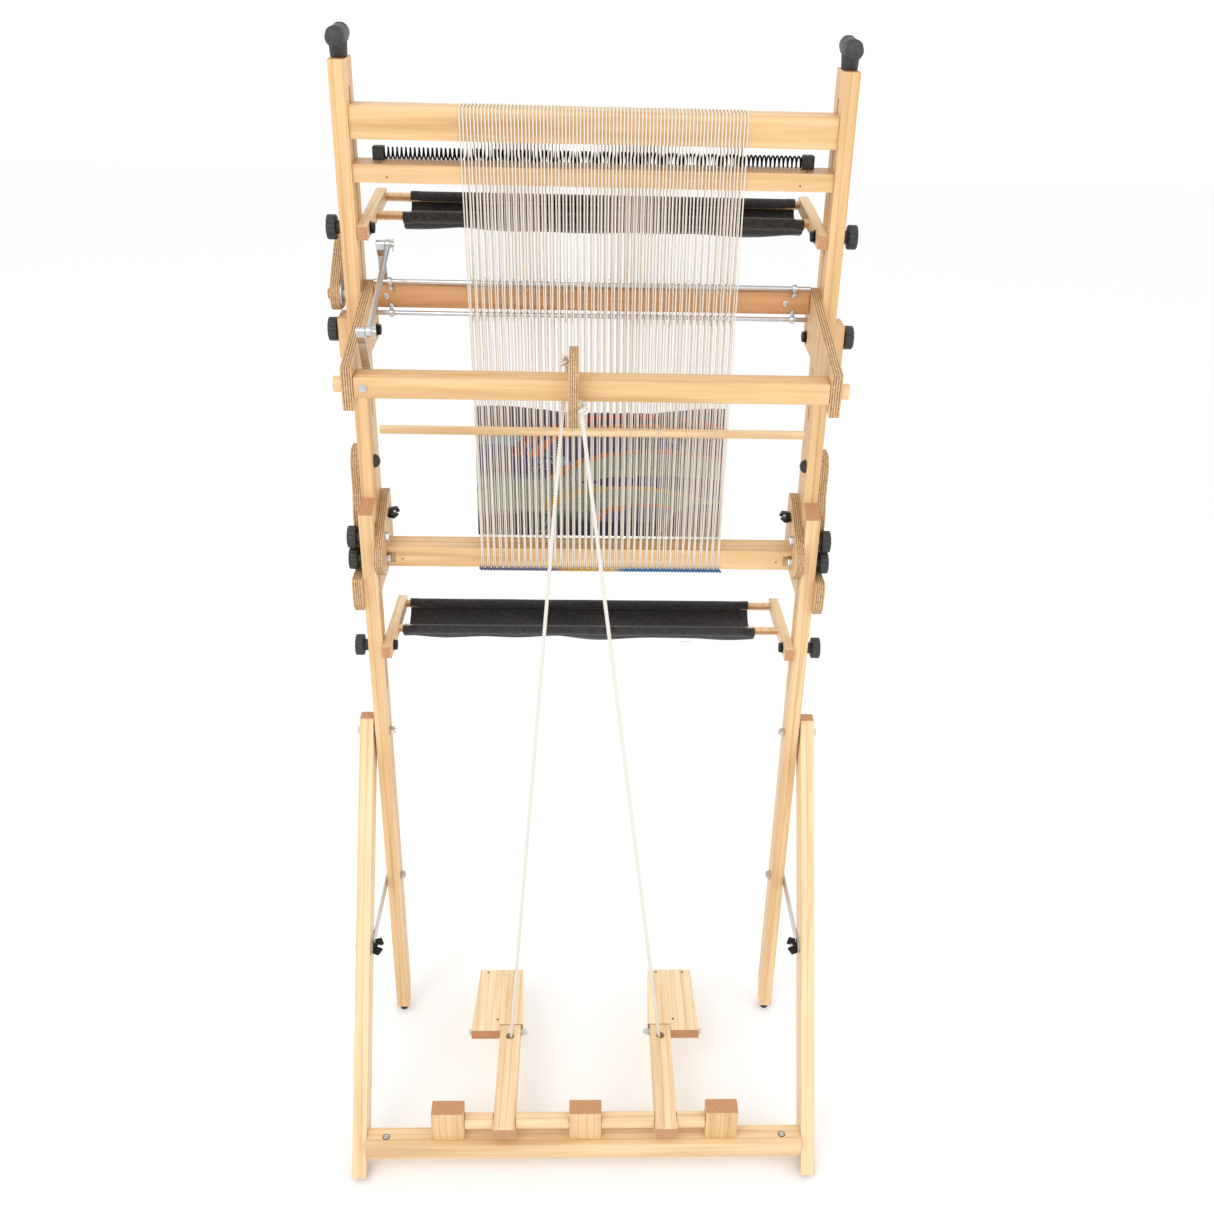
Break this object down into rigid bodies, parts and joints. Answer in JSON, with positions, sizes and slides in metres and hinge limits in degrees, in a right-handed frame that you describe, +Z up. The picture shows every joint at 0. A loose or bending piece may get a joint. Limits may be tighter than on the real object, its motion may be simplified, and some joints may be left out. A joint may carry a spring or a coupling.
{
  "type": "loom",
  "caption": "Floor-standing tapestry loom in maple with a folding stand, screw-tensioned top beam, treadle-worked shedding frame, cloth trays and a part-woven tapestry.",
  "frame": {"origin": "centre of the floor area, on the floor under the feet", "axes": "+Z up, +X to the right seen from behind the loom, +Y towards the weaver"},
  "size_m": [0.71, 0.5748, 1.567],
  "materials": {
    "stand_post_left": "clear oiled maple, satin",
    "stand_post_right": "clear oiled maple, satin",
    "rear_leg_left": "clear oiled maple, satin",
    "rear_leg_right": "clear oiled maple, satin",
    "loom_post_left": "clear oiled maple, satin",
    "loom_post_right": "clear oiled maple, satin",
    "treadle_lever_left": "clear oiled maple, satin",
    "treadle_lever_right": "clear oiled maple, satin",
    "splice_plate_left": "birch plywood with bare edges, satin",
    "splice_plate_right": "birch plywood with bare edges, satin",
    "bracket_plate_left": "birch plywood with bare edges, satin",
    "bracket_plate_right": "birch plywood with bare edges, satin",
    "shed_plate_left": "birch plywood with bare edges, satin",
    "shed_plate_right": "birch plywood with bare edges, satin",
    "footboard_left": "clear oiled maple, satin",
    "footboard_right": "clear oiled maple, satin",
    "hinge_bolt_left": "bright zinc plate",
    "hinge_bolt_right": "bright zinc plate",
    "brace_strap_left": "bright zinc plate",
    "brace_strap_right": "bright zinc plate",
    "brace_wing_nut_left": "black",
    "brace_wing_nut_right": "black",
    "frame_wing_nut_left": "black",
    "frame_wing_nut_right": "black",
    "stand_knob_upper_left": "black moulded nylon, fine texture",
    "stand_knob_upper_right": "black moulded nylon, fine texture",
    "stand_knob_lower_left": "black moulded nylon, fine texture",
    "stand_knob_lower_right": "black moulded nylon, fine texture",
    "tension_handle_left": "black moulded nylon, fine texture",
    "tension_handle_right": "black moulded nylon, fine texture",
    "upper_tray_knob_left": "black moulded nylon, fine texture",
    "upper_tray_knob_right": "black moulded nylon, fine texture",
    "lower_tray_knob_left": "black moulded nylon, fine texture",
    "lower_tray_knob_right": "black moulded nylon, fine texture",
    "shed_knob_left": "black moulded nylon, fine texture",
    "shed_knob_right": "black moulded nylon, fine texture",
    "stretcher": "clear oiled maple, satin",
    "bottom_beam": "clear oiled maple, satin",
    "top_beam": "clear oiled maple, satin",
    "spring_beam": "clear oiled maple, satin",
    "upper_tray_frame": "clear oiled maple, satin",
    "lower_tray_frame": "clear oiled maple, satin",
    "rocker_beam": "clear oiled maple, satin",
    "treadle_block_left": "clear oiled maple, satin",
    "treadle_block_centre": "clear oiled maple, satin",
    "treadle_block_right": "clear oiled maple, satin",
    "treadle_axle": "clear oiled maple, satin",
    "warping_dowel": "clear oiled maple, satin",
    "warp_spring": "black",
    "upper_tray_cloth": "black cotton canvas",
    "lower_tray_cloth": "black cotton canvas",
    "heddle_bar": "reddish hardwood, satin",
    "rocker_strap": "drawn steel",
    "heddle_strap": "drawn steel",
    "connecting_rod": "drawn steel",
    "hand_lever": "birch plywood with bare edges, satin",
    "treadle_rope_left": "off-white cotton",
    "treadle_rope_right": "off-white cotton",
    "warp": "off-white cotton",
    "tapestry": "woven wool, many colours"
  },
  "bodies": {
    "stand": {"stand_post_left": "stand_post_left", "stand_post_right": "stand_post_right", "hinge_bolt_left": "hinge_bolt_left", "hinge_bolt_right": "hinge_bolt_right"},
    "rear_frame": {"rear_leg_left": "rear_leg_left", "rear_leg_right": "rear_leg_right", "stretcher": "stretcher", "treadle_block_left": "treadle_block_left", "treadle_block_centre": "treadle_block_centre", "treadle_block_right": "treadle_block_right", "treadle_axle": "treadle_axle"},
    "loom_frame": {"loom_post_left": "loom_post_left", "loom_post_right": "loom_post_right", "splice_plate_left": "splice_plate_left", "splice_plate_right": "splice_plate_right", "bracket_plate_left": "bracket_plate_left", "bracket_plate_right": "bracket_plate_right", "bottom_beam": "bottom_beam", "spring_beam": "spring_beam", "warp_spring": "warp_spring", "warp": "warp", "tapestry": "tapestry", "warping_dowel": "warping_dowel"},
    "shed_frame": {"shed_plate_left": "shed_plate_left", "shed_plate_right": "shed_plate_right"},
    "beam": {"top_beam": "top_beam"},
    "upper_tray": {"upper_tray_frame": "upper_tray_frame", "upper_tray_cloth": "upper_tray_cloth"},
    "lower_tray": {"lower_tray_frame": "lower_tray_frame", "lower_tray_cloth": "lower_tray_cloth"},
    "rocker": {"rocker_beam": "rocker_beam", "rocker_strap": "rocker_strap"},
    "heddle": {"heddle_bar": "heddle_bar", "heddle_strap": "heddle_strap", "hand_lever": "hand_lever"},
    "link": {"connecting_rod": "connecting_rod"},
    "brace_left": {"brace_strap_left": "brace_strap_left"},
    "brace_nut_left": {"brace_wing_nut_left": "brace_wing_nut_left"},
    "treadle_left": {"treadle_lever_left": "treadle_lever_left", "footboard_left": "footboard_left"},
    "rope_left": {"treadle_rope_left": "treadle_rope_left"},
    "handle_left": {"tension_handle_left": "tension_handle_left"},
    "frame_nut_left": {"frame_wing_nut_left": "frame_wing_nut_left"},
    "stand_knob_up_left": {"stand_knob_upper_left": "stand_knob_upper_left"},
    "stand_knob_low_left": {"stand_knob_lower_left": "stand_knob_lower_left"},
    "upper_knob_left": {"upper_tray_knob_left": "upper_tray_knob_left"},
    "lower_knob_left": {"lower_tray_knob_left": "lower_tray_knob_left"},
    "shed_knob_body_left": {"shed_knob_left": "shed_knob_left"},
    "brace_right": {"brace_strap_right": "brace_strap_right"},
    "brace_nut_right": {"brace_wing_nut_right": "brace_wing_nut_right"},
    "treadle_right": {"treadle_lever_right": "treadle_lever_right", "footboard_right": "footboard_right"},
    "rope_right": {"treadle_rope_right": "treadle_rope_right"},
    "handle_right": {"tension_handle_right": "tension_handle_right"},
    "frame_nut_right": {"frame_wing_nut_right": "frame_wing_nut_right"},
    "stand_knob_up_right": {"stand_knob_upper_right": "stand_knob_upper_right"},
    "stand_knob_low_right": {"stand_knob_lower_right": "stand_knob_lower_right"},
    "upper_knob_right": {"upper_tray_knob_right": "upper_tray_knob_right"},
    "lower_knob_right": {"lower_tray_knob_right": "lower_tray_knob_right"},
    "shed_knob_body_right": {"shed_knob_right": "shed_knob_right"}
  },
  "joints": [
    {"name": "leg_fold", "type": "hinge", "parent": "stand", "child": "rear_frame", "pos_m": [0, 0.0777, 0.574], "axis": [1, 0, 0], "range_deg": [0, 23], "deforming": ["treadle_rope_left", "treadle_rope_right"]},
    {"name": "loom_height", "type": "slide", "parent": "stand", "child": "loom_frame", "axis": [0, 0, 1], "range_m": [-0.045, 0.018], "deforming": ["treadle_rope_left", "treadle_rope_right"]},
    {"name": "shed_height", "type": "slide", "parent": "loom_frame", "child": "shed_frame", "axis": [0, 0, 1], "range_m": [-0.04, 0.008], "deforming": ["treadle_rope_left", "treadle_rope_right"]},
    {"name": "warp_tension", "type": "slide", "parent": "loom_frame", "child": "beam", "axis": [0, 0, 1], "range_m": [0, 0.012], "deforming": ["warp"]},
    {"name": "upper_tray_tilt", "type": "hinge", "parent": "loom_frame", "child": "upper_tray", "pos_m": [0, 0.1247, 1.325], "axis": [1, 0, 0], "range_deg": [-25, 12]},
    {"name": "lower_tray_tilt", "type": "hinge", "parent": "stand", "child": "lower_tray", "pos_m": [0, 0.0797, 0.725], "axis": [1, 0, 0], "range_deg": [-25, 12]},
    {"name": "treadle_left_swing", "type": "hinge", "parent": "rear_frame", "child": "treadle_left", "pos_m": [0, -0.2473, 0.089], "axis": [1, 0, 0], "range_deg": [-6, 6]},
    {"name": "treadle_right_swing", "type": "hinge", "parent": "rear_frame", "child": "treadle_right", "pos_m": [0, -0.2473, 0.089], "axis": [1, 0, 0], "range_deg": [-6.5, 6.5]},
    {"name": "rocker_swing", "type": "hinge", "parent": "shed_frame", "child": "rocker", "pos_m": [0, -0.0703, 1.179], "axis": [1, 0, 0], "range_deg": [-23.03, 23.03]},
    {"name": "heddle_swing", "type": "hinge", "parent": "shed_frame", "child": "heddle", "pos_m": [0, 0.1247, 1.238], "axis": [1, 0, 0], "range_deg": [-23.03, 23.03]},
    {"name": "link_swing", "type": "hinge", "parent": "rocker", "child": "link", "pos_m": [0, -0.0703, 1.245], "axis": [1, 0, 0], "range_deg": [-23.03, 23.03]},
    {"name": "rope_left_run", "type": "slide", "parent": "shed_frame", "child": "rope_left", "axis": [0.0779, 0.0553, 0.9954], "range_m": [-0.018, 0.018]},
    {"name": "brace_left_swing", "type": "hinge", "parent": "stand", "child": "brace_left", "pos_m": [0, 0.0777, 0.29], "axis": [1, 0, 0], "range_deg": [-86, 1]},
    {"name": "brace_nut_left_turn", "type": "hinge", "parent": "rear_frame", "child": "brace_nut_left", "pos_m": [0, -0.09333, 0.29178], "axis": [1, 0, 0], "continuous": true},
    {"name": "handle_left_turn", "type": "hinge", "parent": "loom_frame", "child": "handle_left", "pos_m": [-0.315, 0.1247, 1.548], "axis": [0, 0, 1], "range_deg": [-5, 2900]},
    {"name": "frame_nut_left_turn", "type": "hinge", "parent": "loom_frame", "child": "frame_nut_left", "pos_m": [0, 0.1247, 0.92], "axis": [1, 0, 0], "continuous": true},
    {"name": "stand_knob_up_left_turn", "type": "hinge", "parent": "loom_frame", "child": "stand_knob_up_left", "pos_m": [0, 0.0797, 0.902], "axis": [1, 0, 0], "continuous": true},
    {"name": "stand_knob_low_left_turn", "type": "hinge", "parent": "loom_frame", "child": "stand_knob_low_left", "pos_m": [0, 0.0797, 0.868], "axis": [1, 0, 0], "continuous": true},
    {"name": "upper_knob_left_turn", "type": "hinge", "parent": "upper_tray", "child": "upper_knob_left", "pos_m": [0, 0.1247, 1.325], "axis": [1, 0, 0], "continuous": true},
    {"name": "lower_knob_left_turn", "type": "hinge", "parent": "lower_tray", "child": "lower_knob_left", "pos_m": [0, 0.0797, 0.725], "axis": [1, 0, 0], "continuous": true},
    {"name": "shed_knob_left_turn", "type": "hinge", "parent": "shed_frame", "child": "shed_knob_body_left", "pos_m": [0, 0.1247, 1.19], "axis": [1, 0, 0], "continuous": true},
    {"name": "rope_right_run", "type": "slide", "parent": "shed_frame", "child": "rope_right", "axis": [-0.1238, -0.0201, 0.9921], "range_m": [-0.018, 0.018]},
    {"name": "brace_right_swing", "type": "hinge", "parent": "stand", "child": "brace_right", "pos_m": [0, 0.0777, 0.29], "axis": [1, 0, 0], "range_deg": [-86, 1]},
    {"name": "brace_nut_right_turn", "type": "hinge", "parent": "rear_frame", "child": "brace_nut_right", "pos_m": [0, -0.09333, 0.29178], "axis": [1, 0, 0], "continuous": true},
    {"name": "handle_right_turn", "type": "hinge", "parent": "loom_frame", "child": "handle_right", "pos_m": [0.315, 0.1247, 1.548], "axis": [0, 0, 1], "range_deg": [-5, 2900]},
    {"name": "frame_nut_right_turn", "type": "hinge", "parent": "loom_frame", "child": "frame_nut_right", "pos_m": [0, 0.1247, 0.92], "axis": [1, 0, 0], "continuous": true},
    {"name": "stand_knob_up_right_turn", "type": "hinge", "parent": "loom_frame", "child": "stand_knob_up_right", "pos_m": [0, 0.0797, 0.902], "axis": [1, 0, 0], "continuous": true},
    {"name": "stand_knob_low_right_turn", "type": "hinge", "parent": "loom_frame", "child": "stand_knob_low_right", "pos_m": [0, 0.0797, 0.868], "axis": [1, 0, 0], "continuous": true},
    {"name": "upper_knob_right_turn", "type": "hinge", "parent": "upper_tray", "child": "upper_knob_right", "pos_m": [0, 0.1247, 1.325], "axis": [1, 0, 0], "continuous": true},
    {"name": "lower_knob_right_turn", "type": "hinge", "parent": "lower_tray", "child": "lower_knob_right", "pos_m": [0, 0.0797, 0.725], "axis": [1, 0, 0], "continuous": true},
    {"name": "shed_knob_right_turn", "type": "hinge", "parent": "shed_frame", "child": "shed_knob_body_right", "pos_m": [0, 0.1247, 1.19], "axis": [1, 0, 0], "continuous": true}
  ],
  "couplings": [
    {"joint": "treadle_right_swing", "follows": "treadle_left_swing", "ratio": -1},
    {"joint": "rocker_swing", "follows": "treadle_left_swing", "ratio": 3.7381},
    {"joint": "heddle_swing", "follows": "treadle_left_swing", "ratio": 3.7381},
    {"joint": "link_swing", "follows": "treadle_left_swing", "ratio": -3.7381},
    {"joint": "rope_left_run", "follows": "treadle_left_swing", "m_per_rad": 0.157},
    {"joint": "brace_left_swing", "follows": "leg_fold", "ratio": -2.8},
    {"joint": "handle_left_turn", "follows": "warp_tension", "rad_per_m": 4188.8},
    {"joint": "rope_right_run", "follows": "treadle_left_swing", "m_per_rad": -0.157},
    {"joint": "brace_right_swing", "follows": "leg_fold", "ratio": -2.8},
    {"joint": "handle_right_turn", "follows": "warp_tension", "rad_per_m": 4188.8}
  ]
}
